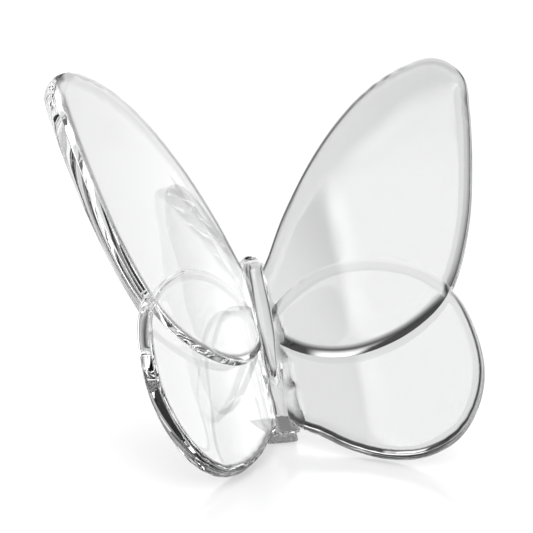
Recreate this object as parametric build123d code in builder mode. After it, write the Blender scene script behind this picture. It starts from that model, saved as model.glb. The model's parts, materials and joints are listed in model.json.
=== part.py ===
"""Clear glass butterfly ornament: four wings set half over half in pairs, on a leaning body with a foot.

Millimetres, +Z up, -Y towards the open side of the wings, X = 0 the mirror plane.
The origin is the middle of the foot's flat underside.
"""
from build123d import *
from math import cos, radians, sin, tan
import os

# Overall sizes of the wings, from the hub point of each wing's plane
forewing_reach = 23.4
forewing_rise = 32.0
hindwing_reach = 29.0
hindwing_drop = 33.5

# Wing plates
wing_thickness = 3.0
lap_step = 0.7
edge_round = 0.6
bend_radius = 143.0
crest_distance = 13.1

# How the wings stand, in degrees
wing_opening = 55.5
wing_lean = 35.5
crest_turn = 25.0

# Where each wing's hub point lies: out from the mirror plane, and in front of the body's front at its height
hub_out = 9.4
hub_forward = 3.77
ground_flat = 0.3

# Body column, seen square to its length, its parts measured down along it from the level of the hub points
body_lean = 32.8
body_width = 4.8
body_depth = 4.3
body_flat = 2.7
body_front = 6.0
body_corner = 0.7
thorax_below = 5.33
seam_below = 24.53
seam_rise = 3.6
ridge_width = 2.6
ridge_proud = 0.5
ridge_below = 22.03

# Head and foot
head_radius = 1.6
head_height = 2.2
head_dome = 1.4
head_middle = 1.4
foot_width = 6.4
foot_depth = 10.0
foot_height = 2.6
foot_corner = 0.8
foot_round = 0.3

# Outlines, from the wing's tip or upper edge round past the outer margin and back along the body
forewing_shares = (
    (0.61, 1.00), (0.81, 0.93), (0.89, 0.75), (0.96, 0.47), (1.00, 0.17), (0.97, -0.14), (0.89, -0.30),
    (0.67, -0.475), (0.36, -0.59), (0.05, -0.60), (-0.21, -0.52), (-0.35, -0.32), (-0.30, -0.11),
    (-0.24, 0.11), (-0.065, 0.48), (0.16, 0.76), (0.39, 0.925),
)
hindwing_shares = (
    (-0.05, 0.21), (0.08, 0.125), (0.25, 0.075), (0.42, 0.063), (0.60, 0.09), (0.79, 0.185), (0.92, 0.345),
    (1.00, 0.54), (0.99, 0.725), (0.915, 0.87), (0.76, 0.97), (0.57, 1.00), (0.36, 0.975), (0.19, 0.925),
    (0.05, 0.89), (-0.10, 0.78), (-0.20, 0.57), (-0.17, 0.35),
)
lowest_share = 0.57

# Worked out from the sizes above
half_width = body_width / 2
front_level = (wing_thickness + lap_step) / 2
rear_level = (wing_thickness - lap_step) / 2
prism_depth = 3 * wing_thickness + crest_distance
arch_length = 2 * (forewing_rise + hindwing_drop)
clearing = 2 * (forewing_reach + hindwing_reach)

opening, lean, turn, slant = map(radians, (wing_opening, wing_lean, crest_turn, body_lean))
lowest_reach = lowest_share * hindwing_reach * cos(turn) - hindwing_drop * sin(turn) - crest_distance
lowest_sag = lowest_reach**2 / (2 * bend_radius)
hub_height = hindwing_drop * cos(lean) + (front_level + lowest_sag) * sin(lean) - ground_flat
hub_back = hub_height * tan(slant) - body_front - hub_forward
hub_level = hub_height / cos(slant)
thorax_top = hub_level - thorax_below
seam_point = hub_level - seam_below
ridge_start = hub_level - ridge_below
ridge_length = thorax_top - ridge_start - ridge_width / 2

# The right wings' shared plane, its local X outwards, local Y up along the wings, local Z to the front
wing_plane = Plane(
    origin=(hub_out, hub_back, hub_height),
    x_dir=(sin(opening), -cos(opening), 0),
    z_dir=(-cos(opening) * cos(lean), -sin(opening) * cos(lean), sin(lean)),
)
# The plates follow a large cylinder whose axis lies behind them, turned from the wings' upright
crest_plane = Plane(
    origin=wing_plane.origin,
    x_dir=wing_plane.x_dir * cos(turn) + wing_plane.y_dir * sin(turn),
    z_dir=wing_plane.z_dir,
)
arch_plane = Plane(
    origin=crest_plane.from_local_coords((crest_distance, 0, -bend_radius)),
    x_dir=crest_plane.x_dir,
    z_dir=crest_plane.y_dir,
)
# The body's plane: local X to the right, local Y to the back, local Z up along the leaning body
body_plane = Plane(
    origin=(0, -body_front, 0),
    x_dir=(1, 0, 0),
    z_dir=(0, sin(slant), cos(slant)),
)
front_plane = Plane(origin=body_plane.origin, x_dir=(1, 0, 0), z_dir=-body_plane.y_dir)


def wing_plate(outline, front, rear):
    """Makes a bent plate with rounded rims, its faces at these distances in front of and behind the lap."""
    with BuildPart() as plate:
        with BuildSketch(wing_plane):
            with BuildLine():
                Spline(*outline, periodic=True)
            make_face()
        extrude(amount=prism_depth, both=True)
        with BuildSketch(arch_plane):
            Circle(bend_radius + front)
            Circle(bend_radius - rear, mode=Mode.SUBTRACT)
        extrude(amount=arch_length, both=True, mode=Mode.INTERSECT)
        fillet(plate.edges(), edge_round)
    return plate.part


def behind_lap(plate):
    """Keeps the half of a plate that lies behind the surface where the two wings are lapped."""
    with BuildPart() as half:
        add(plate)
        with BuildSketch(arch_plane):
            Circle(bend_radius)
        extrude(amount=arch_length, both=True, mode=Mode.INTERSECT)
    return half.part


forewing_outline = [(u * forewing_reach, v * forewing_rise) for u, v in forewing_shares]
hindwing_outline = [(u * hindwing_reach, -v * hindwing_drop) for u, v in hindwing_shares]

# Foot: a low block with a flat underside
with BuildPart() as foot:
    with BuildSketch(Plane.XY):
        RectangleRounded(foot_width, foot_depth, foot_corner)
    extrude(amount=foot_height)
    fillet(foot.edges().group_by(Axis.Z)[-1], foot_round)

# Body column: flat sides for the wing roots, a rounded back and soft front corners, down to the foot's top
with BuildPart() as column:
    with BuildSketch(body_plane):
        with BuildLine():
            Polyline(
                (-half_width, body_flat),
                (-half_width, ridge_proud),
                (half_width, ridge_proud),
                (half_width, body_flat),
            )
            ThreePointArc((half_width, body_flat), (0, body_depth), (-half_width, body_flat))
        make_face()
    extrude(amount=thorax_top)
    long_edges = column.edges().filter_by(Axis(body_plane.origin, body_plane.z_dir))
    fillet(long_edges.group_by(Axis.Y)[0], body_corner)
    split(bisect_by=Plane.XY.offset(foot_height))

# Seam between thorax and abdomen: a V in the front view, its point downwards
with BuildPart() as upper_space:
    with BuildSketch(front_plane):
        with BuildLine():
            Polyline(
                (0, seam_point),
                (body_width, seam_point + 2 * seam_rise),
                (body_width, 2 * thorax_top),
                (-body_width, 2 * thorax_top),
                (-body_width, seam_point + 2 * seam_rise),
                close=True,
            )
        make_face()
    extrude(amount=clearing, both=True)

# Thorax: the upper column with a raised ridge down its front that ends in a rounded tip
with BuildPart() as thorax:
    add(column.part)
    add(upper_space.part, mode=Mode.INTERSECT)
    with BuildSketch(front_plane.offset(-body_flat)):
        with Locations((0, ridge_start + ridge_width / 2)):
            Circle(ridge_width / 2)
            Rectangle(ridge_width, ridge_length, align=(Align.CENTER, Align.MIN))
    extrude(amount=body_flat)
thorax.part.label = "thorax"

# Abdomen: the lower column, below the seam
with BuildPart() as abdomen:
    add(column.part)
    add(upper_space.part, mode=Mode.SUBTRACT)
abdomen.part.label = "abdomen"

# Head: a short round neck with a dome, on the top end of the thorax
neck_plane = Plane(
    origin=body_plane.from_local_coords((0, head_middle, thorax_top)),
    x_dir=(1, 0, 0),
    z_dir=body_plane.z_dir,
)
with BuildPart() as head:
    with BuildSketch(neck_plane):
        Circle(head_radius)
    extrude(amount=head_height)
    fillet(head.faces().sort_by(Axis(neck_plane.origin, neck_plane.z_dir))[-1].edges(), head_dome)

forewing_plate = wing_plate(forewing_outline, front_level, rear_level)
hindwing_plate = wing_plate(hindwing_outline, rear_level, front_level)
forewing_rear = behind_lap(forewing_plate)
hindwing_rear = behind_lap(hindwing_plate)

root_plane = Plane.YZ.offset(half_width)

# Right forewing: it holds the front half of the lap, and all its own thickness beyond the hindwing
with BuildPart() as right_forewing:
    add(forewing_plate)
    add(hindwing_rear, mode=Mode.SUBTRACT)
    split(bisect_by=root_plane)
right_forewing.part.label = "right_forewing"

# Right hindwing: it holds the rear half of the lap, and stands on a small ground flat
with BuildPart() as forewing_front:
    add(forewing_plate)
    add(forewing_rear, mode=Mode.SUBTRACT)
with BuildPart() as right_hindwing:
    add(hindwing_plate)
    add(forewing_front.part, mode=Mode.SUBTRACT)
    split(bisect_by=root_plane)
    split(bisect_by=Plane.XY)
    add(foot.part, mode=Mode.SUBTRACT)
right_hindwing.part.label = "right_hindwing"

# The left wings mirror the right ones
with BuildPart() as left_forewing:
    mirror(right_forewing.part, about=Plane.YZ)
left_forewing.part.label = "left_forewing"
with BuildPart() as left_hindwing:
    mirror(right_hindwing.part, about=Plane.YZ)
left_hindwing.part.label = "left_hindwing"

foot.part.label = "foot"
head.part.label = "head"

os.makedirs("parts", exist_ok=True)
pieces = (foot, abdomen, thorax, head, left_forewing, right_forewing, left_hindwing, right_hindwing)
for piece in pieces:
    export_step(piece.part, f"parts/{piece.part.label}.step")
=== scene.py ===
import json
import logging
import math
from collections.abc import Callable, Iterator, Sequence
from contextlib import contextmanager
from dataclasses import dataclass, field
from enum import Enum

import bmesh
import bpy
from mathutils import Matrix, Vector

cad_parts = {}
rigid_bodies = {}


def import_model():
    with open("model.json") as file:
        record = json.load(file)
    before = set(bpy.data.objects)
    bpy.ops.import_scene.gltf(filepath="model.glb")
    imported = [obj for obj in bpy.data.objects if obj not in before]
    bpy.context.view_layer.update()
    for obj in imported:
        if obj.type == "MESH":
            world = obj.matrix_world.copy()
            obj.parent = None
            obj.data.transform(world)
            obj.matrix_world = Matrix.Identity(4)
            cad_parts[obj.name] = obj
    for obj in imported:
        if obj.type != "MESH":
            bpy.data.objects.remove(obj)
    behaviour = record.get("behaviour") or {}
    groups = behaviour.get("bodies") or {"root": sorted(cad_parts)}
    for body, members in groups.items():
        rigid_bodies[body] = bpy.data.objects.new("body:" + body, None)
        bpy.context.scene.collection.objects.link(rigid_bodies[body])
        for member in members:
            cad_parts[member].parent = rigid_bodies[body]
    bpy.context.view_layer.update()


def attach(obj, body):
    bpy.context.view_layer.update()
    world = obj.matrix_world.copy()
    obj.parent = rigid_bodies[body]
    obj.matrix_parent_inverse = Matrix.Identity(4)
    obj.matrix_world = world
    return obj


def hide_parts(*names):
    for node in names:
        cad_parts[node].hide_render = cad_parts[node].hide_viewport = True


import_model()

log = logging.getLogger("butterfly")

METRES_PER_MM = 0.001
PHOTO_WIDTH = 533
SENSOR_WIDTH = 36.0

# The two material slots of every piece of the glass
GLASS_SLOT, SEAM_SLOT = 0, 1

# How close two points count as one, and how close to a cut a point counts as on it
MERGE_WITHIN = 1e-4
CUT_WITHIN = 1e-5

# A face that is turned into a net has its rim parted into this many sides
NET_SIDES = 4

Point = tuple[float, float]
Span = tuple[float, float]
Place = tuple[float, float, float]
Station = tuple[float, float, float, float]


class Cut(Enum):
    """What a cutter does to a piece."""

    KEEP_INSIDE = "INTERSECT"
    TAKE_AWAY = "DIFFERENCE"
    JOIN = "UNION"


def ramp(value: float, start: float, over: float) -> float:
    """Gives a straight rise from 0 to 1.

    Args:
        value: Where on the rise.
        start: Where it begins.
        over: How long it is.

    Returns:
        The share risen.
    """
    return min(max((value - start) / over, 0.0), 1.0)


def between(a: Vector, b: Vector, leave: Vector, arrive: Vector, t: float) -> Vector:
    """Gives a place on the smooth curve from one point to the next.

    Args:
        a: Where the curve starts.
        b: Where it ends.
        leave: Its speed at the start.
        arrive: Its speed at the end.
        t: How far along it, from 0 to 1.

    Returns:
        The place.
    """
    return (
        a * (2 * t**3 - 3 * t**2 + 1)
        + leave * (t**3 - 2 * t**2 + t)
        + b * (3 * t**2 - 2 * t**3)
        + arrive * (t**3 - t**2)
    )


@dataclass(frozen=True)
class Wave:
    """A wave over the wing plane: how fast it runs along each way, and where it starts."""

    across: float
    up: float
    start: float = 0.0

    def at(self, u: float, v: float) -> float:
        """Gives its height, from -1 to 1, at a place of the wing plane."""
        return math.sin(self.across * u + self.up * v + self.start)


@dataclass(frozen=True)
class Swell:
    """An uneven swell: two waves that cross, and weaker ones on top of them."""

    crossed: tuple[Wave, Wave]
    added: tuple[tuple[float, Wave], ...]
    strength: float = 1.0

    def at(self, u: float, v: float) -> float:
        """Gives the swell's height at a place of the wing plane.

        Args:
            u: How far out the place lies.
            v: How far up.

        Returns:
            The height.
        """
        height = self.crossed[0].at(u, v) * self.crossed[1].at(u, v)
        for share, wave in self.added:
            height += share * wave.at(u, v)
        return height * self.strength


class Sock:
    """A number socket of a shader tree, on which Python's operators add Math nodes."""

    def __init__(self, tree: "ShaderTree", socket: bpy.types.NodeSocket) -> None:
        """Wraps a socket of a tree."""
        self.tree = tree
        self.socket = socket

    def __add__(self, other: "Sock | float") -> "Sock":
        """Sum."""
        return self.tree.maths("ADD", self, other)

    __radd__ = __add__

    def __mul__(self, other: "Sock | float") -> "Sock":
        """Product."""
        return self.tree.maths("MULTIPLY", self, other)

    __rmul__ = __mul__

    def __sub__(self, other: "Sock | float") -> "Sock":
        """Difference."""
        return self.tree.maths("SUBTRACT", self, other)

    def __rsub__(self, other: float) -> "Sock":
        """Difference, with the number first."""
        return self.tree.maths("SUBTRACT", other, self)

    def __truediv__(self, other: "Sock | float") -> "Sock":
        """Quotient."""
        return self.tree.maths("DIVIDE", self, other)

    def at_most(self, other: "Sock | float") -> "Sock":
        """The lower of two values."""
        return self.tree.maths("MINIMUM", self, other)

    def at_least(self, other: "Sock | float") -> "Sock":
        """The higher of two values."""
        return self.tree.maths("MAXIMUM", self, other)

    def smooth(self, low: float, high: float) -> "Sock":
        """Makes a soft step.

        Args:
            low: Where it starts to rise from 0.
            high: Where it reaches 1.

        Returns:
            The step's height.
        """
        node = self.tree.node(
            "ShaderNodeMapRange",
            {"interpolation_type": "SMOOTHSTEP"},
            {"Value": self, "From Min": low, "From Max": high},
        )
        return Sock(self.tree, node.outputs["Result"])


class ShaderTree:
    """Builds the nodes of one material or world."""

    def __init__(self, owner: bpy.types.Material | bpy.types.World) -> None:
        """Turns nodes on for the owner and clears its tree."""
        owner.use_nodes = True
        self.tree = owner.node_tree
        self.tree.nodes.clear()

    def node(
        self,
        kind: str,
        settings: dict[str, object] | None = None,
        inputs: dict[str | int, object] | None = None,
    ) -> bpy.types.Node:
        """Adds a node.

        Args:
            kind: The node's type name.
            settings: Its properties, set before its sockets.
            inputs: A value, socket or Sock for each of its input sockets, by name or number.

        Returns:
            The new node.
        """
        node = self.tree.nodes.new(kind)
        for name, value in (settings or {}).items():
            setattr(node, name, value)
        for name, value in (inputs or {}).items():
            if isinstance(value, Sock):
                value = value.socket
            if isinstance(value, bpy.types.NodeSocket):
                self.tree.links.new(value, node.inputs[name])
            else:
                node.inputs[name].default_value = value
        return node

    def maths(self, operation: str, *values: Sock | float) -> Sock:
        """Adds a Math node.

        Args:
            operation: What it works out.
            values: The numbers or sockets it works on.

        Returns:
            Its result.
        """
        node = self.node("ShaderNodeMath", {"operation": operation}, dict(enumerate(values)))
        return Sock(self, node.outputs[0])

    def along(self, way: bpy.types.NodeSocket, axis: Sequence[float]) -> Sock:
        """Measures a direction along an axis.

        Args:
            way: The direction's socket.
            axis: The axis, of length 1.

        Returns:
            How far it goes along the axis.
        """
        inputs = {0: way, 1: tuple(axis)}
        node = self.node("ShaderNodeVectorMath", {"operation": "DOT_PRODUCT"}, inputs)
        return Sock(self, node.outputs["Value"])


@dataclass(frozen=True)
class ClearGlass:
    """Clear pressed crystal: even, colourless, with the faint flow marks that pressing leaves."""

    name: str = "clear_crystal"
    tint: tuple[float, float, float, float] = (0.974, 0.976, 0.98, 1.0)
    index: float = 1.545
    roughness: float = 0.0
    flow_scale: float = 110.0
    flow_strength: float = 0.005

    def material(self) -> bpy.types.Material:
        """Makes the glass's material.

        Returns:
            The material.
        """
        glass = bpy.data.materials.new(self.name)
        tree = ShaderTree(glass)
        place = tree.node("ShaderNodeTexCoord").outputs["Object"]
        flow = tree.node(
            "ShaderNodeTexNoise",
            {"noise_dimensions": "3D"},
            {"Vector": place, "Scale": self.flow_scale, "Detail": 0.0},
        )
        bump = tree.node(
            "ShaderNodeBump",
            None,
            {
                "Height": flow.outputs["Fac"],
                "Strength": self.flow_strength,
                "Distance": METRES_PER_MM,
            },
        )
        surface = tree.node(
            "ShaderNodeBsdfPrincipled",
            None,
            {
                "Base Color": self.tint,
                "Roughness": self.roughness,
                "IOR": self.index,
                "Transmission Weight": 1.0,
                "Normal": bump.outputs["Normal"],
            },
        )
        tree.node("ShaderNodeOutputMaterial", None, {"Surface": surface.outputs["BSDF"]})
        return glass


@dataclass(frozen=True)
class SeamGlass:
    """The face on which two pieces of the glass meet, unseen, because the glass runs on."""

    name: str = "crystal_seam"

    def material(self) -> bpy.types.Material:
        """Makes the unseen material of the meeting faces.

        Returns:
            The material.
        """
        seam = bpy.data.materials.new(self.name)
        tree = ShaderTree(seam)
        surface = tree.node(
            "ShaderNodeBsdfPrincipled",
            None,
            {"Base Color": (1.0, 1.0, 1.0, 1.0), "Roughness": 0.0, "IOR": 1.0, "Alpha": 0.0},
        )
        tree.node("ShaderNodeOutputMaterial", None, {"Surface": surface.outputs["BSDF"]})
        return seam


@dataclass(frozen=True)
class WhiteTable:
    """The white acrylic that the ornament stands on, a little glossy, white round its shadows."""

    name: str = "white_table"
    colour: tuple[float, float, float, float] = (0.8, 0.8, 0.8, 1.0)
    roughness: float = 0.22
    glow: float = 0.28

    def material(self) -> bpy.types.Material:
        """Makes the table's material.

        Returns:
            The material.
        """
        material = bpy.data.materials.new(self.name)
        tree = ShaderTree(material)
        seen = Sock(tree, tree.node("ShaderNodeLightPath").outputs["Is Camera Ray"])
        acrylic = tree.node(
            "ShaderNodeBsdfPrincipled",
            None,
            {
                "Base Color": self.colour,
                "Roughness": self.roughness,
                "Emission Color": (1.0, 1.0, 1.0, 1.0),
                "Emission Strength": seen * self.glow,
            },
        )
        tree.node("ShaderNodeOutputMaterial", None, {"Surface": acrylic.outputs[0]})
        return material


@dataclass(frozen=True)
class Ring:
    """One oval ring of a drawn bar: its middle, half its width and half its depth."""

    x: float
    y: float
    z: float
    wide: float
    deep: float


def drawn(stations: Sequence[Station], steps: int = 6, least: float = 0.02) -> list[Ring]:
    """Sets smooth rings through a bar's stations.

    Args:
        stations: The given rings, from the lower end up: z, y, half width and half depth.
        steps: How many rings are set from one station to the next.
        least: The least half width and half depth.

    Returns:
        The rings, on a curve through the stations.
    """
    made = []
    last = len(stations) - 1
    for i in range(last):
        before, a, b, after = (Vector(stations[min(max(k, 0), last)]) for k in range(i - 1, i + 3))
        leave, arrive = (b - before) / 2, (after - a) / 2
        made += [between(a, b, leave, arrive, step / steps) for step in range(steps)]
    made.append(Vector(stations[-1]))
    return [Ring(0.0, y, z, max(wide, least), max(deep, least)) for z, y, wide, deep in made]


@dataclass
class Bench:
    """The glassmaker's bench: the operators that every piece is shaped with, in millimetres."""

    glass: bpy.types.Material
    seam: bpy.types.Material
    relaxing: float = 0.5
    net_rounds: int = 25
    puff_rounds: int = 8
    smooth_below: float = 32.0

    def take(self, piece: bpy.types.Object) -> None:
        """Makes one piece the only selected one, and the active one.

        Args:
            piece: The piece to work on.
        """
        bpy.ops.object.select_all(action="DESELECT")
        piece.select_set(True)
        bpy.context.view_layer.objects.active = piece

    @contextmanager
    def editing(self, piece: bpy.types.Object, mode: str = "FACE") -> Iterator[None]:
        """Holds a piece in edit mode, with nothing selected at the start.

        Args:
            piece: The piece to edit.
            mode: What is selected: "VERT", "EDGE" or "FACE".

        Returns:
            A context that lasts as long as the piece is edited.
        """
        self.take(piece)
        bpy.ops.object.mode_set(mode="EDIT")
        bpy.ops.mesh.select_mode(type=mode)
        bpy.ops.mesh.select_all(action="DESELECT")
        yield
        bpy.ops.object.mode_set(mode="OBJECT")

    def pick(self, piece: bpy.types.Object, kind: str, test: Callable[[object], bool]) -> None:
        """Selects the faces or edges of a piece in edit mode that pass a test.

        Args:
            piece: The piece that is being edited.
            kind: "faces" or "edges".
            test: Says of each element whether it is wanted.
        """
        mesh = bmesh.from_edit_mesh(piece.data)
        for group in (mesh.verts, mesh.edges, mesh.faces):
            for element in group:
                element.select = False
        for element in getattr(mesh, kind):
            if test(element):
                element.select_set(True)
        bmesh.update_edit_mesh(piece.data)

    def dress(self, piece: bpy.types.Object, slot: int = GLASS_SLOT) -> None:
        """Gives a piece both materials, and one of them to all its faces.

        Args:
            piece: The piece to dress.
            slot: The slot that its faces get.
        """
        piece.data.materials.clear()
        piece.data.materials.append(self.glass)
        piece.data.materials.append(self.seam)
        for face in piece.data.polygons:
            face.material_index = slot

    def sheet(self, name: str, outline: Sequence[Point]) -> bpy.types.Object:
        """Lays a flat face that looks up.

        Args:
            name: The sheet's name.
            outline: Its outline, counter-clockwise.

        Returns:
            The sheet.
        """
        bpy.ops.object.select_all(action="DESELECT")
        bpy.ops.mesh.primitive_circle_add(vertices=len(outline), fill_type="NGON")
        sheet = bpy.context.object
        sheet.name = name
        for vertex, (x, y) in zip(sheet.data.vertices, outline):
            vertex.co = (x, y, 0.0)
        return sheet

    def net(self, piece: bpy.types.Object, span: int) -> None:
        """Turns the one selected large face of a piece in edit mode into a net of small ones.

        Args:
            piece: The piece that is being edited.
            span: How many of its rim's edges one side of the net takes.
        """
        mesh = bmesh.from_edit_mesh(piece.data)
        rim = {edge.index for face in mesh.faces if face.select for edge in face.edges}
        bpy.ops.mesh.delete(type="ONLY_FACE")
        bpy.ops.mesh.select_mode(type="EDGE")
        self.pick(piece, "edges", lambda edge: edge.index in rim)
        bpy.ops.mesh.fill_grid(span=span, offset=0)
        bpy.ops.mesh.select_mode(type="VERT")
        bpy.ops.mesh.select_less()
        bpy.ops.mesh.vertices_smooth(factor=self.relaxing, repeat=self.net_rounds)

    def puff(self, height: float, times: int) -> None:
        """Crowns the selected middle of a net, and smooths it as it rises.

        Args:
            height: How far it is lifted each time.
            times: How often.
        """
        for _ in range(times):
            bpy.ops.transform.translate(value=(0.0, 0.0, height))
            bpy.ops.mesh.vertices_smooth(
                factor=self.relaxing, repeat=self.puff_rounds, xaxis=False, yaxis=False
            )
        bpy.ops.mesh.select_mode(type="FACE")

    def thicken(self, height: float) -> None:
        """Draws the one face in edit mode up into a closed block.

        Args:
            height: How high the block is.
        """
        bpy.ops.mesh.extrude_region_move(TRANSFORM_OT_translate={"value": (0.0, 0.0, height)})
        bpy.ops.mesh.select_all(action="SELECT")
        bpy.ops.mesh.normals_make_consistent(inside=False)

    def block(
        self, name: str, low: Sequence[float], high: Sequence[float], slot: int
    ) -> bpy.types.Object:
        """Makes a cutter with square corners.

        Args:
            name: The cutter's name.
            low: Its lowest corner.
            high: Its highest corner.
            slot: The slot of the faces that it leaves on a piece.

        Returns:
            The cutter.
        """
        bpy.ops.object.select_all(action="DESELECT")
        middle = [(a + b) / 2 for a, b in zip(low, high)]
        bpy.ops.mesh.primitive_cube_add(size=1.0, location=middle)
        block = bpy.context.object
        block.name = name
        block.scale = [b - a for a, b in zip(low, high)]
        bpy.ops.object.transform_apply(location=True, rotation=False, scale=True)
        self.dress(block, slot)
        return block

    def loft(
        self, name: str, rings: Sequence[Ring], around: int = 64, square: float = 1.0
    ) -> bpy.types.Object:
        """Draws a round bar out of a disc, ring by ring, and closes its end.

        Args:
            name: The bar's name.
            rings: Where each ring lies and how wide and deep it is, from the lower end up.
            around: How many points a ring has.
            square: 1 for oval rings, less for squarer ones.

        Returns:
            The bar, in the body's own frame.
        """
        bpy.ops.object.select_all(action="DESELECT")
        bpy.ops.mesh.primitive_circle_add(vertices=around, radius=1.0, fill_type="NGON")
        bar = bpy.context.object
        bar.name = name
        for vertex in bar.data.vertices:
            for axis in (0, 1):
                vertex.co[axis] = math.copysign(abs(vertex.co[axis]) ** square, vertex.co[axis])
        last = Ring(0.0, 0.0, 0.0, 1.0, 1.0)
        with self.editing(bar):
            bpy.ops.mesh.select_all(action="SELECT")
            for number, ring in enumerate(rings):
                if number:
                    bpy.ops.mesh.extrude_region_move()
                step = (ring.x - last.x, ring.y - last.y, ring.z - last.z)
                grow = (ring.wide / last.wide, ring.deep / last.deep, 1.0)
                bpy.ops.transform.resize(value=grow, center_override=(last.x, last.y, last.z))
                bpy.ops.transform.translate(value=step)
                last = ring
            bpy.ops.mesh.select_all(action="SELECT")
            bpy.ops.mesh.normals_make_consistent(inside=False)
        self.dress(bar)
        return bar

    def copy(self, piece: bpy.types.Object, name: str) -> bpy.types.Object:
        """Copies a piece with its own mesh.

        Args:
            piece: The piece to copy.
            name: The copy's name.

        Returns:
            The copy.
        """
        twin = piece.copy()
        twin.data = piece.data.copy()
        twin.name = name
        bpy.context.scene.collection.objects.link(twin)
        return twin

    def cut(
        self, piece: bpy.types.Object, cutter: bpy.types.Object, how: Cut, keep_cutter: bool = True
    ) -> bpy.types.Object:
        """Cuts or joins a piece with another, whose faces keep their own material.

        Args:
            piece: The piece that is changed.
            cutter: The other piece.
            how: What the cutter does to the piece.
            keep_cutter: Whether the cutter is needed again.

        Returns:
            The changed piece.
        """
        self.take(piece)
        modifier = piece.modifiers.new("cut", "BOOLEAN")
        modifier.operation = how.value
        modifier.solver = "MANIFOLD"
        modifier.object = cutter
        bpy.ops.object.modifier_apply(modifier=modifier.name)
        if not keep_cutter:
            self.drop(cutter)
        return piece

    def slice(
        self, piece: bpy.types.Object, at: Sequence[float], normal: Sequence[float], slot: int
    ) -> None:
        """Cuts off what lies on the far side of a plane, and closes the cut with a face.

        Args:
            piece: The piece that is cut.
            at: A point of the plane.
            normal: The way to the side that is cut off.
            slot: The slot of the new face.
        """
        with self.editing(piece):
            bpy.ops.mesh.select_all(action="SELECT")
            bpy.ops.mesh.bisect(
                plane_co=at,
                plane_no=normal,
                use_fill=True,
                clear_outer=True,
                threshold=CUT_WITHIN,
            )
            mesh = bmesh.from_edit_mesh(piece.data)
            for face in mesh.faces:
                if face.select:
                    face.material_index = slot
            bmesh.update_edit_mesh(piece.data)

    def drop(self, *pieces: bpy.types.Object) -> None:
        """Throws away helpers that are no longer needed.

        Args:
            pieces: The helpers.
        """
        for piece in pieces:
            bpy.data.meshes.remove(piece.data)

    def drop_slivers(self) -> None:
        """Takes out the flat triangles that lie along another one's edge, which closes the mesh."""
        bpy.ops.mesh.select_all(action="DESELECT")
        bpy.ops.mesh.select_mode(type="EDGE")
        bpy.ops.mesh.select_non_manifold(use_wire=False, use_verts=False)
        bpy.ops.mesh.select_mode(type="FACE")
        bpy.ops.mesh.delete(type="ONLY_FACE")
        bpy.ops.mesh.select_mode(type="VERT")
        bpy.ops.mesh.select_all(action="SELECT")
        bpy.ops.mesh.delete_loose()

    def polish(self, piece: bpy.types.Object) -> None:
        """Closes and smooths a finished piece, and brings it to metres.

        Args:
            piece: The finished piece.
        """
        with self.editing(piece):
            bpy.ops.mesh.select_all(action="SELECT")
            bpy.ops.mesh.remove_doubles(threshold=MERGE_WITHIN)
            bpy.ops.mesh.quads_convert_to_tris()
            self.drop_slivers()
        piece.data.transform(Matrix.Scale(METRES_PER_MM, 4))
        self.take(piece)
        bpy.ops.object.shade_smooth_by_angle(angle=math.radians(self.smooth_below))


@dataclass
class Outline:
    """A closed smooth wing outline, through shares of the wing's reach and height."""

    shares: Sequence[Point]
    reach: float
    height: float
    steps: int = 24

    def spline(self) -> list[Vector]:
        """Draws the dense closed curve through the points.

        Returns:
            Its points, counter-clockwise.
        """
        knots = [Vector((u * self.reach, v * self.height)) for u, v in reversed(self.shares)]
        count = len(knots)
        curve = []
        for i in range(count):
            a, b, c, d = (knots[(i + k) % count] for k in (-1, 0, 1, 2))
            ab, bc, cd = ((q - p).length ** 0.5 for p, q in ((a, b), (b, c), (c, d)))
            leave = (b - a) / ab - (c - a) / (ab + bc) + (c - b) / bc
            arrive = (c - b) / bc - (d - b) / (bc + cd) + (d - c) / cd
            leave, arrive = leave * bc, arrive * bc
            curve += [
                between(b, c, leave, arrive, step / self.steps) for step in range(self.steps)
            ]
        return curve

    def points(self, count: int, grown: float = 0.0) -> list[Point]:
        """Gives evenly spaced points of the outline.

        Args:
            count: How many points.
            grown: How far outside the outline they lie.

        Returns:
            The points, counter-clockwise.
        """
        curve = self.spline()
        closed = curve + curve[:1]
        lengths = [(q - p).length for p, q in zip(closed, closed[1:])]
        spacing = sum(lengths) / count
        points, walked, wanted = [], 0.0, 0.0
        for (p, q), length in zip(zip(closed, closed[1:]), lengths):
            while wanted <= walked + length and len(points) < count:
                t = (wanted - walked) / length
                out = Vector((q - p).yx * Vector((1, -1))).normalized()
                point = p.lerp(q, t) + out * grown
                points.append((point.x, point.y))
                wanted += spacing
            walked += length
        return points


FOREWING_SHARES: Sequence[Point] = (
    (0.61, 1.00), (0.81, 0.93), (0.89, 0.75), (0.96, 0.47), (1.00, 0.17), (0.97, -0.14),
    (0.89, -0.30), (0.67, -0.475), (0.36, -0.59), (0.05, -0.60), (-0.21, -0.52), (-0.35, -0.32),
    (-0.30, -0.11), (-0.24, 0.11), (-0.065, 0.48), (0.16, 0.76), (0.39, 0.925),
)
HINDWING_SHARES: Sequence[Point] = (
    (-0.05, -0.21), (0.08, -0.125), (0.25, -0.075), (0.42, -0.063), (0.60, -0.09),
    (0.79, -0.185), (0.92, -0.345), (1.00, -0.54), (0.99, -0.725), (0.915, -0.87),
    (0.76, -0.97), (0.57, -1.00), (0.36, -0.975), (0.19, -0.925), (0.05, -0.89),
    (-0.10, -0.78), (-0.20, -0.57), (-0.17, -0.35),
)


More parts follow.
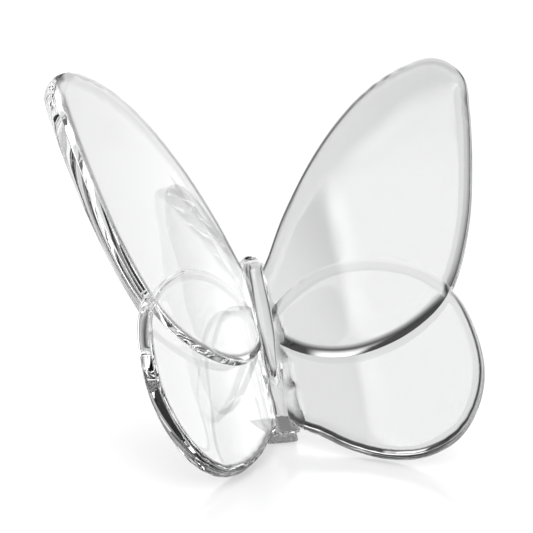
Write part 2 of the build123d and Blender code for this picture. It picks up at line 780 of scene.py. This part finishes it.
@dataclass
class Wings:
    """The forewing and hindwing of one side, lapped half over half, and their mirrored twins."""

    bench: Bench
    forewing: Outline = field(default_factory=lambda: Outline(FOREWING_SHARES, 23.4, 32.0))
    hindwing: Outline = field(default_factory=lambda: Outline(HINDWING_SHARES, 29.0, 33.5))

    # The plates' faces, in front of and behind the ridge round their rims, and the rims' shape
    front_level: float = 1.85
    rear_level: float = 1.15
    rim_draft: float = 12.0
    corner_radius: float = 0.25
    corner_steps: int = 4
    shoulder_slope: float = 32.0
    shoulder_flat: float = 0.15
    shoulder_round: float = 1.7
    shoulder_steps: int = 9
    lesser_shoulder: float = 0.4
    crown: float = 0.0012
    crown_puffs: int = 24

    # The fire-polished rim's unevenness: all of it at the ends and the root, little between
    wobble: Swell = Swell((Wave(1.9, 1.1), Wave(-0.8, 1.4, 1.0)), ((0.6, Wave(0.7, 2.6)),))
    wobble_depth: float = 0.04
    wobble_least: float = 0.02
    wobble_ends: float = 20.0
    wobble_ends_over: float = 8.0
    wobble_middle: float = -2.0
    wobble_root: float = 1.0
    wobble_root_over: float = 3.0
    rim_fade: float = 0.3

    # The slow swell that pressing leaves in the faces, and the left wings' own
    flow: Swell = Swell(
        (Wave(0.42, 0.11, 0.6), Wave(0.13, -0.31, 1.9)),
        ((0.6, Wave(0.23, -0.47, 2.2)), (0.5, Wave(0.71, 0.36))),
        0.5,
    )
    flow_depth: float = 0.006
    flow_above: float = 0.575
    left_flow: float = 0.02
    left_flow_above: float = 0.6
    left_flow_over: float = 0.5
    left_flow_shift: Point = (3.0, -5.0)
    left_flow_stretch: float = 0.8

    # The cylinder that both wings follow, and how the wings stand
    bend_radius: float = 143.0
    crest_distance: float = 13.1
    crest_turn: float = 25.0
    opening: float = 55.5
    lean: float = 35.5
    hub: Place = (9.4, 8.5, 28.353)

    # Where the wings end beside the body and the foot
    root_at: float = 3.15
    root_end: float = -0.05
    foot_reach: float = 3.3
    foot_rear: float = 5.1
    foot_top: float = 2.65

    # How finely the rims are drawn, and how far the cutters reach
    rim_points: int = 240
    lap_points: int = 160
    lap_margin: float = 0.22
    cutter_depth: float = 8.0
    cutter_height: float = 12.8
    core_low: Place = (-20.0, -30.0, -5.0)
    core_back: float = 40.0
    core_top: float = 60.0
    beside_start: float = -5.0
    beside_low: float = -3.0

    def place(self) -> Matrix:
        """Gives the wing plane: X outwards, Y up along the wings, Z to the front.

        Returns:
            The plane's place among the ornament's own axes.
        """
        opening, lean = math.radians(self.opening), math.radians(self.lean)
        across = Vector((math.sin(opening), -math.cos(opening), 0.0))
        flat = math.cos(lean)
        front = Vector((-math.cos(opening) * flat, -math.sin(opening) * flat, math.sin(lean)))
        up = front.cross(across)
        turned = Matrix((across, up, front)).transposed().to_4x4()
        return Matrix.Translation(self.hub) @ turned

    def away(self, u: float, v: float) -> float:
        """Gives how far a place of the wing plane lies from the cylinder's crest."""
        turn = math.radians(self.crest_turn)
        return u * math.cos(turn) + v * math.sin(turn) - self.crest_distance

    def arch(self, piece: bpy.types.Object) -> None:
        """Bends a flat plate over the large cylinder, and lets its faces flow.

        Args:
            piece: The plate, in the wing plane.
        """
        for vertex in piece.data.vertices:
            u, v, level = vertex.co
            away = self.away(u, v)
            if abs(level) > self.flow_above:
                level += math.copysign(self.flow_depth, level) * self.flow.at(u, v)
            vertex.co.z = math.sqrt((self.bend_radius + level) ** 2 - away**2) - self.bend_radius

    def rim(self, level: float, share: float) -> list[Point]:
        """Gives the rim's profile: a drafted flat, a corner and a soft shoulder.

        Args:
            level: How high the face stands above the rim's ridge.
            share: How much of the full shoulder's width this side has.

        Returns:
            Its steps from the ridge to the face: how far in, and how far up.
        """
        radius, bends, steps = self.corner_radius, self.corner_steps, self.shoulder_steps
        start, end = math.radians(self.rim_draft), math.radians(90 - self.shoulder_slope)
        angles = [start + (end - start) * k / bends for k in range(bends + 1)]
        corner = [
            (radius * (math.cos(a) - math.cos(b)), radius * (math.sin(b) - math.sin(a)))
            for a, b in zip(angles, angles[1:])
        ]
        slope = math.tan(math.radians(self.shoulder_slope))
        flat, inset = share * self.shoulder_flat / 2, share * self.shoulder_round / steps
        shoulder = [(flat, flat * slope)] * 2 + [
            (inset, inset * slope * (1 - (k + 0.5) / steps)) for k in range(steps)
        ]
        flat_rise = level - sum(rise for _, rise in corner + shoulder)
        return [(flat_rise * math.tan(start), flat_rise), *corner, *shoulder]

    def unevenness(self, u: float, v: float) -> float:
        """Gives how far the rim is off at a place, most of it at the tip, the root and the bottom.

        Args:
            u: How far out the place lies in the wing plane.
            v: How far up.

        Returns:
            The rim's unevenness there.
        """
        ends = ramp(abs(v - self.wobble_middle), self.wobble_ends, self.wobble_ends_over)
        root = ramp(-u, -self.wobble_root, self.wobble_root_over)
        share = max(ends, root, self.wobble_least)
        return self.wobble_depth * share * self.wobble.at(u, v)

    def plate(self, name: str, outline: Outline, shift: float, soft: int) -> bpy.types.Object:
        """Shapes one wing's plate on both sides of the ridge round its rim, and bends it.

        Args:
            name: The plate's name.
            outline: Its outline at the ridge.
            shift: How far it lies in front of the other wing's plate.
            soft: 1 if its front has the full shoulder, -1 if its rear has.

        Returns:
            The plate, in the wing plane.
        """
        bench = self.bench
        plate = bench.sheet(name, outline.points(self.rim_points))
        with bench.editing(plate):
            bpy.ops.mesh.select_all(action="SELECT")
            bpy.ops.mesh.duplicate()
            bpy.ops.mesh.flip_normals()
            for side, level in ((1, self.front_level), (-1, self.rear_level)):
                # The face that looks to this side is the only one there with more than four edges
                bench.pick(
                    plate, "faces", lambda face: len(face.verts) > 4 and face.normal.z * side > 0
                )
                for inset, rise in self.rim(level, 1.0 if side == soft else self.lesser_shoulder):
                    bpy.ops.mesh.inset(thickness=inset, depth=rise, use_even_offset=True)
                bench.net(plate, self.rim_points // NET_SIDES)
                bench.puff(side * self.crown, self.crown_puffs)
            bpy.ops.mesh.select_all(action="SELECT")
            bpy.ops.mesh.remove_doubles(threshold=MERGE_WITHIN)
            bpy.ops.mesh.select_all(action="SELECT")
            bpy.ops.mesh.normals_make_consistent(inside=False)
        for vertex in plate.data.vertices:
            u, v, z = vertex.co
            face = self.front_level if z > 0 else self.rear_level
            rim = ramp(face - abs(z), 0.0, self.rim_fade) * ramp(abs(z), 0.0, self.rim_fade)
            vertex.co.z += math.copysign(rim, z) * self.unevenness(u, v) + shift
        self.arch(plate)
        bench.dress(plate)
        return plate

    def lap(self) -> bpy.types.Object:
        """Makes the cutter for the hindwing's share: what lies behind the lap and beyond it.

        Returns:
            The cutter.
        """
        bench, count, margin = self.bench, self.lap_points, self.lap_margin
        above = bench.sheet("above_lap", self.forewing.points(count, margin))
        with bench.editing(above):
            bpy.ops.mesh.select_all(action="SELECT")
            bench.net(above, count // NET_SIDES)
        self.arch(above)
        with bench.editing(above):
            bpy.ops.mesh.select_all(action="SELECT")
            bench.thicken(self.cutter_depth)
        bench.dress(above, SEAM_SLOT)
        share = bench.sheet("hindwing_share", self.hindwing.points(count, margin))
        with bench.editing(share):
            bpy.ops.mesh.select_all(action="SELECT")
            bpy.ops.transform.translate(value=(0.0, 0.0, -self.cutter_depth))
            bench.thicken(self.cutter_height)
        bench.dress(share, SEAM_SLOT)
        bench.cut(share, above, Cut.TAKE_AWAY, keep_cutter=False)
        share.data.transform(self.place())
        return share

    def core_space(self) -> bpy.types.Object:
        """Makes the cutter for the space that body and foot take, up to where the wings start.

        Returns:
            The cutter.
        """
        bench = self.bench
        core_high = (self.root_at, self.core_back, self.core_top)
        core = bench.block("core_space", self.core_low, core_high, SEAM_SLOT)
        foot_low = (self.beside_start, -self.foot_rear, self.beside_low)
        foot_high = (self.foot_reach, self.foot_rear, self.foot_top)
        by_foot = bench.block("by_foot", foot_low, foot_high, SEAM_SLOT)
        return bench.cut(core, by_foot, Cut.JOIN, keep_cutter=False)

    def build(
        self, hollows: Sequence[bpy.types.Object]
    ) -> tuple[dict[str, bpy.types.Object], list[bpy.types.Object]]:
        """Builds the four wings and the roots that belong to the body.

        Args:
            hollows: Cutters for the valley between the wings and for the flat back behind the body.

        Returns:
            The wings by name, and the two root stubs that the body is joined with.
        """
        bench = self.bench
        pair = self.plate("right_pair", self.forewing, 0.0, 1)
        hind = self.plate("hind_plate", self.hindwing, self.rear_level - self.front_level, -1)
        bench.cut(pair, hind, Cut.JOIN, keep_cutter=False)
        pair.data.transform(self.place())
        bench.slice(pair, (0, 0, 0), (0, 0, -1), GLASS_SLOT)
        bench.slice(pair, (self.root_end, 0, 0), (-1, 0, 0), GLASS_SLOT)
        for hollow in hollows:
            bench.cut(pair, hollow, Cut.TAKE_AWAY, keep_cutter=False)
        core, lap = self.core_space(), self.lap()
        stub = bench.cut(bench.copy(pair, "right_stub"), core, Cut.KEEP_INSIDE)
        bench.cut(pair, core, Cut.TAKE_AWAY, keep_cutter=False)
        wings = {
            "right_forewing": bench.cut(bench.copy(pair, "right_forewing"), lap, Cut.TAKE_AWAY),
            "right_hindwing": bench.cut(bench.copy(pair, "right_hindwing"), lap, Cut.KEEP_INSIDE),
        }
        bench.drop(pair, lap)
        for right in list(wings):
            left = right.replace("right", "left")
            wings[left] = self.mirrored(wings[right], left)
        return wings, [stub, self.mirrored(stub, "left_stub")]

    def mirrored(self, piece: bpy.types.Object, name: str) -> bpy.types.Object:
        """Makes the left twin of a right piece, with the left wings' own flow in its front.

        Args:
            piece: The right piece.
            name: The twin's name.

        Returns:
            The twin.
        """
        twin = self.bench.copy(piece, name)
        place = self.place()
        twin.data.transform(place.inverted())
        out, up = self.left_flow_shift
        for vertex in twin.data.vertices:
            u, v, z = vertex.co
            level = math.hypot(self.bend_radius + z, self.away(u, v)) - self.bend_radius
            share = ramp(level, self.left_flow_above, self.left_flow_over)
            flow = self.flow.at(v + out, self.left_flow_stretch * u + up)
            vertex.co.z += share * self.left_flow * flow
        twin.data.transform(Matrix.Scale(-1.0, 4, (1.0, 0.0, 0.0)) @ place)
        twin.data.flip_normals()
        return twin


@dataclass
class Body:
    """The leaning column between the wings, with its head, ridge, seam and foot."""

    bench: Bench

    # The leaning column
    lean: float = 32.8
    front_at: float = 6.0
    half_width: float = 2.2
    column_front: float = 1.3
    flat_end: float = 3.9
    depth: float = 4.3
    front_corner: float = 0.5
    back_steps: int = 16
    start: float = -1.0
    top: float = 28.4
    sunk_in_foot: float = 0.8

    # The V seam between thorax and abdomen, and the step of the belly under it
    seam_point: float = 9.2
    seam_rise: float = 3.6
    seam_half: float = 2.4
    belly_below: float = 0.06

    # Rings of the forms on the column: height, place from front to back, half width, half depth
    ridge_rings: tuple[Station, ...] = (
        (10.4, 1.2, 0.1, 0.1), (10.6, 1.2, 0.35, 0.8), (11.2, 1.3, 0.6, 1.3),
        (12.5, 1.4, 0.85, 1.75), (15.0, 1.5, 1.2, 2.0), (18.0, 1.5, 1.55, 2.1),
        (22.0, 1.6, 1.6, 2.05), (25.0, 1.65, 1.4, 1.95), (28.0, 1.7, 1.3, 1.85),
        (28.9, 1.8, 1.1, 1.6), (29.5, 1.9, 0.75, 1.1), (29.8, 2.0, 0.4, 0.6),
        (29.9, 2.0, 0.1, 0.1),
    )
    belly_rings: tuple[Station, ...] = (
        (0.6, 1.6, 2.9, 2.5), (2.6, 1.6, 2.3, 2.15), (5.0, 1.6, 1.95, 2.0),
        (7.0, 1.6, 2.05, 1.9), (9.0, 1.6, 2.3, 1.9), (11.5, 1.6, 2.75, 1.85),
        (13.7, 1.6, 3.05, 1.75), (16.5, 1.6, 3.1, 1.6),
    )
    shoulder_rings: tuple[Station, ...] = (
        (17.0, 3.0, 2.4, 0.6), (20.0, 2.9, 2.7, 0.95), (24.0, 2.8, 3.05, 1.2),
        (28.0, 2.8, 3.05, 1.25), (28.9, 2.8, 2.9, 1.15), (29.5, 2.8, 2.4, 0.85),
        (29.75, 2.8, 1.5, 0.5), (29.8, 2.8, 0.3, 0.1),
    )
    valley_rings: tuple[Station, ...] = (
        (-3.0, -8.5, 3.7, 7.8), (1.5, -7.7, 3.4, 7.3), (4.0, -7.3, 3.2, 7.1),
        (7.2, -6.8, 3.05, 6.8), (8.4, -6.6, 3.3, 6.7), (10.6, -6.4, 3.0, 6.6),
        (13.0, -6.0, 3.3, 6.4), (15.5, -6.0, 3.05, 6.4), (18.0, -6.0, 3.0, 6.4),
        (21.0, -5.6, 2.8, 6.2), (24.0, -5.2, 2.8, 5.9), (28.0, -4.6, 2.8, 5.6),
        (36.0, -4.0, 2.8, 5.4),
    )
    # The head's rings are set from the column's top and from the head's middle
    head_middle: float = 1.4
    head_rings: tuple[Station, ...] = (
        (-9.0, 1.0, 1.3, 0.9), (-6.0, 0.9, 1.75, 1.5), (-2.0, 0.7, 1.9, 1.75),
        (0.0, 0.6, 1.9, 1.75), (0.8, 0.6, 1.75, 1.65), (1.5, 0.6, 1.35, 1.3),
        (2.0, 0.6, 0.75, 0.75), (2.2, 0.6, 0.1, 0.1),
    )

    # How square the rings are, where 1 is oval, and how finely the forms are drawn
    ridge_square: float = 0.62
    belly_square: float = 0.42
    shoulder_square: float = 0.7
    head_square: float = 0.8
    foot_square: float = 0.4
    long_around: int = 96
    foot_around: int = 160
    valley_steps: int = 4
    corner_segments: int = 4

    # The foot: its waist is given as shares of its height and how far in the faces lie there
    foot_width: float = 6.4
    foot_depth: float = 10.0
    foot_height: float = 2.6
    foot_ramp: float = 6.5
    foot_waist: tuple[Point, ...] = (
        (0.0, 0.2), (0.03, 0.06), (0.12, 0.0), (0.2, 0.04), (0.3, 0.2), (0.38, 0.26),
        (0.46, 0.2), (0.56, 0.05), (0.66, 0.0), (0.76, 0.06), (0.84, 0.18), (0.92, 0.26),
        (1.0, 0.3),
    )
    ripple_depth: float = 0.34
    ripple_margin: float = 0.1
    front_ripples: float = 5.5
    rear_ripples: float = 4.1
    ripple_bend: float = 2.0
    ripple_rise: float = 3.1

    # How far the cutters reach
    long: float = 60.0
    head_outline: tuple[Point, ...] = ((-2.0, -1.0), (2.0, -1.0), (2.0, 4.0), (-2.0, 4.0))
    back_low: Point = (-3.0, -6.0)
    back_high: Point = (3.0, 33.0)
    foot_clear: float = 10.0
    foot_under: float = -5.0
    foot_seam_lift: float = 0.02
    beside_under: float = -4.0
    beside_lift: float = 0.1

    def place(self) -> Matrix:
        """Gives the body's frame: X to the right, Y to the back, Z up along the leaning body.

        Returns:
            The frame's place among the ornament's own axes.
        """
        slant = math.radians(self.lean)
        return Matrix.Translation((0.0, -self.front_at, 0.0)) @ Matrix.Rotation(-slant, 4, "X")

    def prism(
        self, name: str, outline: Sequence[Point], start: float, end: float, slot: int = GLASS_SLOT
    ) -> bpy.types.Object:
        """Draws a flat outline up into a prism, in the body's own frame.

        Args:
            name: The prism's name.
            outline: Its outline, counter-clockwise.
            start: The height of its lower end.
            end: The height of its upper end.
            slot: The slot that its faces get.

        Returns:
            The prism.
        """
        bench = self.bench
        prism = bench.sheet(name, outline)
        with bench.editing(prism):
            bpy.ops.mesh.select_all(action="SELECT")
            bpy.ops.transform.translate(value=(0.0, 0.0, start))
            bench.thicken(end - start)
        bench.dress(prism, slot)
        return prism

    def column(self) -> bpy.types.Object:
        """Shapes the column: flat sides for the wing roots, a rounded back, soft front corners.

        Returns:
            The column, in the body's own frame.
        """
        w, front, back = self.half_width, self.column_front, []
        rise = self.depth - self.flat_end
        radius = (w * w + rise * rise) / (2 * rise)
        sweep = math.asin(w / radius)
        for k in range(self.back_steps + 1):
            angle = sweep - 2 * sweep * k / self.back_steps
            back.append((radius * math.sin(angle), self.depth - radius + radius * math.cos(angle)))
        column = self.prism("column", [(-w, front), (w, front), *back], self.start, self.top)
        with self.bench.editing(column, "EDGE"):
            # The two long edges at the front are the ones that run up, with both ends there
            self.bench.pick(
                column,
                "edges",
                lambda edge: all(v.co.y < front + MERGE_WITHIN for v in edge.verts)
                and abs(edge.verts[0].co.x - edge.verts[1].co.x) < MERGE_WITHIN,
            )
            bpy.ops.mesh.bevel(
                offset=self.front_corner, segments=self.corner_segments, affect="EDGES"
            )
        return column

    def ridge(self) -> bpy.types.Object:
        """Shapes the rounded ridge down the thorax's front, wide in its middle, with a fine tip."""
        return self.bench.loft("ridge", drawn(self.ridge_rings), square=self.ridge_square)

    def above_seam(self, name: str, low: float, slot: int) -> bpy.types.Object:
        """Makes the cutter for what lies above the V seam.

        Args:
            name: The cutter's name.
            low: The height of the V's point.
            slot: The slot of the faces that it leaves on a piece.

        Returns:
            The cutter.
        """
        width, end = 2 * self.seam_half, low + 2 * self.seam_rise
        outline = [(0, low), (width, end), (width, self.long), (-width, self.long), (-width, end)]
        above = self.prism(name, outline, -self.long, self.long, slot)
        above.data.transform(Matrix.Rotation(math.radians(90), 4, "X"))
        return above

    def belly(self) -> bpy.types.Object:
        """Shapes the abdomen's flat front: broad under the V seam, spread out again at the foot.

        Returns:
            The belly, in the body's own frame.
        """
        rings = drawn(self.belly_rings)
        belly = self.bench.loft("belly", rings, self.long_around, self.belly_square)
        low = self.seam_point - self.belly_below
        above = self.above_seam("above_belly", low, GLASS_SLOT)
        return self.bench.cut(belly, above, Cut.TAKE_AWAY, keep_cutter=False)

    def shoulders(self) -> bpy.types.Object:
        """Shapes the lump behind the head, in which the wings' upper roots end."""
        rings = drawn(self.shoulder_rings)
        return self.bench.loft("shoulders", rings, square=self.shoulder_square)

    def valley(self) -> bpy.types.Object:
        """Makes the cutter for the long hollow between the wings, where the body's front lies.

        Returns:
            The cutter.
        """
        rings = drawn(self.valley_rings, self.valley_steps)
        valley = self.bench.loft("valley", rings, self.long_around)
        valley.data.transform(self.place())
        return valley

    def back_space(self) -> bpy.types.Object:
        """Makes the cutter that keeps the back flat where the wings' rear faces meet.

        Returns:
            The cutter.
        """
        (left, bottom), (right, top) = self.back_low, self.back_high
        low, high = (left, self.depth, bottom), (right, 3 * self.depth, top)
        behind = self.bench.block("back_space", low, high, GLASS_SLOT)
        behind.data.transform(self.place())
        return behind

    def head(self) -> bpy.types.Object:
        """Shapes the head: a broad low dome that grows out of the column's upper end.

        Returns:
            The head, in the body's own frame.
        """
        stations = [
            (self.top + z, self.head_middle + y, wide, deep) for z, y, wide, deep in self.head_rings
        ]
        return self.bench.loft("head", drawn(stations), square=self.head_square)

    def foot(self) -> bpy.types.Object:
        """Shapes the foot: a low block with a soft waist, rippled faces and a flat underside.

        Returns:
            The foot, where it stands.
        """
        x, y, high = self.foot_width / 2, self.foot_depth / 2, self.foot_height
        levels = []
        for share, less in self.foot_waist:
            deep = y - less - self.foot_ramp / 2 * share
            levels.append(Ring(0.0, deep - y + less, high * share, x - less, deep))
        foot = self.bench.loft("foot", levels, self.foot_around, self.foot_square)
        for vertex in foot.data.vertices:
            x, y, z = vertex.co
            if self.ripple_margin < z < high - self.ripple_margin:
                run = self.front_ripples if y < 0 else self.rear_ripples
                bend = self.ripple_bend * math.sin(self.ripple_rise * z + x)
                ripple = 1 + math.sin(run * x + bend)
                vertex.co.y -= math.copysign(self.ripple_depth * ripple / 2, y)
        return foot

    def foot_space(self, wings: Wings) -> bpy.types.Object:
        """Makes the cutter for the foot's own space, under the body and beside the wing roots.

        Args:
            wings: The wings, for where their roots end.

        Returns:
            The cutter.
        """
        bench, clear = self.bench, self.foot_clear
        low = (-clear, -clear, self.foot_under)
        high = (clear, clear, self.foot_height + self.foot_seam_lift)
        space = bench.block("foot_space", low, high, SEAM_SLOT)
        for side in (-1, 1):
            near, far = sorted((side * wings.root_at, side * clear))
            low = (near, -clear, self.beside_under)
            high = (far, clear, wings.foot_top + self.beside_lift)
            beside = bench.block("beside_foot", low, high, SEAM_SLOT)
            bench.cut(space, beside, Cut.JOIN, keep_cutter=False)
        return space

    def build(self, wings: Wings, stubs: list[bpy.types.Object]) -> dict[str, bpy.types.Object]:
        """Joins the body's forms with the wing roots and parts them again at their seams.

        Args:
            wings: The wings, for where their roots end.
            stubs: The roots that belong to the body.

        Returns:
            The body's pieces by name.
        """
        bench, place = self.bench, self.place()
        core = self.column()
        for form in (self.ridge(), self.belly(), self.shoulders(), self.head()):
            bench.cut(core, form, Cut.JOIN, keep_cutter=False)
        core.data.transform(place)
        bench.slice(core, (0, 0, self.foot_height - self.sunk_in_foot), (0, 0, -1), GLASS_SLOT)
        for piece in (self.foot(), *stubs):
            bench.cut(core, piece, Cut.JOIN, keep_cutter=False)
        foot_space = self.foot_space(wings)
        head_space = self.prism("head_space", self.head_outline, self.top, self.long, SEAM_SLOT)
        thorax_space = self.above_seam("thorax_space", self.seam_point, SEAM_SLOT)
        for space in (head_space, thorax_space):
            space.data.transform(place)
        pieces = {}
        for name, space in (("foot", foot_space), ("head", head_space), ("thorax", thorax_space)):
            pieces[name] = bench.cut(bench.copy(core, f"{name}_piece"), space, Cut.KEEP_INSIDE)
            bench.cut(core, space, Cut.TAKE_AWAY, keep_cutter=False)
        pieces["abdomen"] = core
        return pieces


@dataclass(frozen=True)
class Edge:
    """One soft straight edge of a panel: lit where across * x + up * y is below a limit."""

    across: float
    up: float
    limit: float
    fade: float


def oblong(half_width: float, half_height: float, fade: float) -> tuple[Edge, ...]:
    """Gives the four edges of an upright panel.

    Args:
        half_width: Half its width.
        half_height: Half its height.
        fade: How soft they are, in shares of its half sizes.

    Returns:
        The edges.
    """
    sides = ((1, 0, half_width), (-1, 0, half_width), (0, 1, half_height), (0, -1, half_height))
    return tuple(Edge(x, y, half, half * fade) for x, y, half in sides)


@dataclass(frozen=True)
class Panel:
    """A lit panel far off in the room, seen only in the glass and on the table.

    Its middle lies along a direction, and places on it are tangents of angles, across and up.
    """

    towards: Place
    level: float
    edges: tuple[Edge, ...]
    grazing: Span = (0.02, 0.1)

    def light(self, tree: ShaderTree, way: bpy.types.NodeSocket) -> Sock:
        """Gives how bright the panel is in each direction of the room.

        Args:
            tree: The world's nodes.
            way: The direction socket.

        Returns:
            The panel's light.
        """
        ahead = Vector(self.towards).normalized()
        across = ahead.cross(Vector((0.0, 0.0, 1.0))).normalized()
        front, x, y = (tree.along(way, axis) for axis in (ahead, across, across.cross(ahead)))
        depth = front.at_least(self.grazing[0])
        x, y = x / depth, y / depth
        lit = self.level * front.smooth(*self.grazing)
        for edge in self.edges:
            away = edge.across * x + edge.up * y
            lit = lit * (1 - away.smooth(edge.limit - edge.fade, edge.limit + edge.fade))
        return lit


@dataclass
class Studio:
    """A plain white table under soft light, and a camera that stands as the photograph's did."""

    # The camera, and the way it looks
    camera_at: Place = (-240.2, -470.24, 191.84)
    right: Place = (0.9008, -0.4272, 0.0782)
    up: Place = (0.0609, 0.3026, 0.9512)
    back: Place = (-0.43, -0.852, 0.2986)
    focal_pixels: float = 3640.0
    sight: Span = (0.01, 100.0)

    # The table, and the grey that light going steeply down out of the glass finds in its place
    table_size: float = 3.0
    table_level: float = 0.5
    table_fade: Span = (-0.75, -0.5)

    # The room: dark behind the object, grey round it, and paler on the camera's side
    dark: float = 0.03
    dome: float = 0.5
    dome_from: Span = (0.8, 0.93)
    dome_top: Span = (0.1, 0.5)
    far_dome: float = 0.38
    far_dome_from: Span = (0.0, 0.5)
    ambient: float = 0.8
    glass_shade: float = 0.2

    # The panels: the field seen through the wings, the strip behind that edges the lap, three
    # parts of the one that the right wings mirror, one to the right, and one high behind
    panels: tuple[Panel, ...] = (
        Panel((0.39, 0.78, -0.5), 0.63, (
            Edge(1, 0, 0.35, 0.12), Edge(-1, 0, 0.3, 0.1),
            Edge(0, 1, 0.33, 0.09), Edge(0, -1, 0.2, 0.12),
        )),
        Panel((0.387, 0.871, 0.301), 1.2, (
            Edge(1, 0, 0.085, 0.025), Edge(-1, 0, 0.03, 0.02),
            Edge(0, 1, -0.22, 0.08), Edge(0, -1, 0.42, 0.08),
        )),
        Panel((-0.36, -0.46, 0.81), 3.3, (
            Edge(1, 0.35, 0.178, 0.012), Edge(0.6, 1, 0.068, 0.009),
            Edge(-1, 0, 0.8, 0.15), Edge(0, -1, 0.3, 0.1),
        )),
        Panel((-0.36, -0.46, 0.81), 1.9, (
            Edge(1, 0, 0.6, 0.1), Edge(-1, -0.35, -0.178, 0.015),
            Edge(0, 1, -0.095, 0.05), Edge(0, -1, 0.4, 0.1),
        )),
        Panel((-0.36, -0.46, 0.81), 0.8, (
            Edge(1, 0.35, 0.169, 0.01), Edge(-1, -0.35, -0.143, 0.015),
            Edge(0, 1, -0.03, 0.02), Edge(0, -1, 0.1, 0.05),
        )),
        Panel((0.93, 0.08, 0.38), 2.5, oblong(0.35, 0.35, 0.5)),
        Panel((0.47, 0.77, 0.43), 1.0, oblong(0.15, 0.1, 0.4)),
    )
    backdrop: Panel = Panel((0.43, 0.852, 0.2986), 1.0, oblong(0.16, 0.16, 0.3))

    # The soft lamp overhead, which only the table feels
    key_at: Place = (0.0, 60.0, 900.0)
    key_aim: Place = (0.0, 0.0, 25.0)
    key_size: float = 600.0
    key_power: float = 1.0

    # How often light may pass from glass to air before it is given up
    glass_bounces: int = 32
    glossy_bounces: int = 12
    clear_bounces: int = 64

    def camera(self) -> None:
        """Sets the camera up and makes it the scene's."""
        data = bpy.data.cameras.new("camera")
        data.sensor_width = SENSOR_WIDTH
        data.lens = self.focal_pixels * SENSOR_WIDTH / PHOTO_WIDTH
        data.clip_start, data.clip_end = self.sight
        camera = bpy.data.objects.new("camera", data)
        turned = Matrix((self.right, self.up, self.back)).transposed().to_4x4()
        camera.matrix_world = Matrix.Translation(Vector(self.camera_at) * METRES_PER_MM) @ turned
        bpy.context.scene.collection.objects.link(camera)
        bpy.context.scene.camera = camera

    def table(self) -> None:
        """Lays the white table."""
        bpy.ops.object.select_all(action="DESELECT")
        bpy.ops.mesh.primitive_plane_add(size=self.table_size, location=(0.0, 0.0, 0.0))
        table = bpy.context.object
        table.name = "table"
        table.data.materials.append(WhiteTable().material())
        table.visible_transmission = False

    def world(self) -> None:
        """Lights the room: a white backdrop, soft panels round the object and dark between them."""
        world = bpy.data.worlds.new("studio")
        bpy.context.scene.world = world
        tree = ShaderTree(world)
        way = tree.node("ShaderNodeTexCoord").outputs["Generated"]
        height = Sock(tree, tree.node("ShaderNodeSeparateXYZ", None, {"Vector": way}).outputs["Z"])
        from_table = self.table_level * (1 - height.smooth(*self.table_fade))
        ahead = tree.along(way, [-v for v in self.back])
        near_dome = self.dome * (1 - ahead.smooth(*self.dome_from))
        far_dome = self.far_dome * (1 - ahead.smooth(*self.far_dome_from))
        dome = (near_dome + far_dome) * (1 - height.smooth(*self.dome_top))
        room = self.dark + from_table + dome
        for panel in self.panels:
            room = room + panel.light(tree, way)
        paths = tree.node("ShaderNodeLightPath")
        seen, mirrored, through, scatterings = (
            Sock(tree, paths.outputs[kind])
            for kind in ("Is Camera Ray", "Is Glossy Ray", "Is Transmission Ray", "Diffuse Depth")
        )
        scattered = scatterings.at_most(1.0)
        ambient = self.ambient * (1 - self.glass_shade * through)
        shown = room + mirrored * self.backdrop.light(tree, way)
        level = seen + (1 - seen) * (scattered * ambient + (1 - scattered) * shown)
        white = {"Color": (1, 1, 1, 1), "Strength": level}
        background = tree.node("ShaderNodeBackground", None, white)
        tree.node("ShaderNodeOutputWorld", None, {"Surface": background.outputs[0]})

    def lamp(self) -> None:
        """Hangs the square soft lamp over the table."""
        data = bpy.data.lights.new("key_lamp", "AREA")
        data.shape, data.size, data.energy = "SQUARE", self.key_size * METRES_PER_MM, self.key_power
        lamp = bpy.data.objects.new("key_lamp", data)
        at = Vector(self.key_at)
        lamp.location = at * METRES_PER_MM
        lamp.rotation_euler = (at - Vector(self.key_aim)).to_track_quat("Z", "Y").to_euler()
        lamp.visible_glossy = lamp.visible_transmission = False
        bpy.context.scene.collection.objects.link(lamp)

    def build(self) -> None:
        """Sets up the camera, the table, the room and the lamp."""
        scene = bpy.context.scene
        scene.view_settings.view_transform = "Standard"
        scene.cycles.max_bounces = scene.cycles.transmission_bounces = self.glass_bounces
        scene.cycles.glossy_bounces = self.glossy_bounces
        scene.cycles.transparent_max_bounces = self.clear_bounces
        self.camera()
        self.table()
        self.world()
        self.lamp()


def main() -> None:
    """Builds the ornament piece by piece, then the studio round it."""
    bench = Bench(ClearGlass().material(), SeamGlass().material())
    wings, body = Wings(bench), Body(bench)
    pieces, stubs = wings.build((body.valley(), body.back_space()))
    pieces.update(body.build(wings, stubs))
    for node, piece in pieces.items():
        bench.polish(piece)
        piece.name = piece.data.name = f"clear_{node}"
        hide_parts(node)
        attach(piece, "root")
        log.info("%s: %d faces", piece.name, len(piece.data.polygons))
    Studio().build()


if __name__ == "__main__":
    logging.basicConfig(level=logging.INFO, format="%(message)s")
    main()
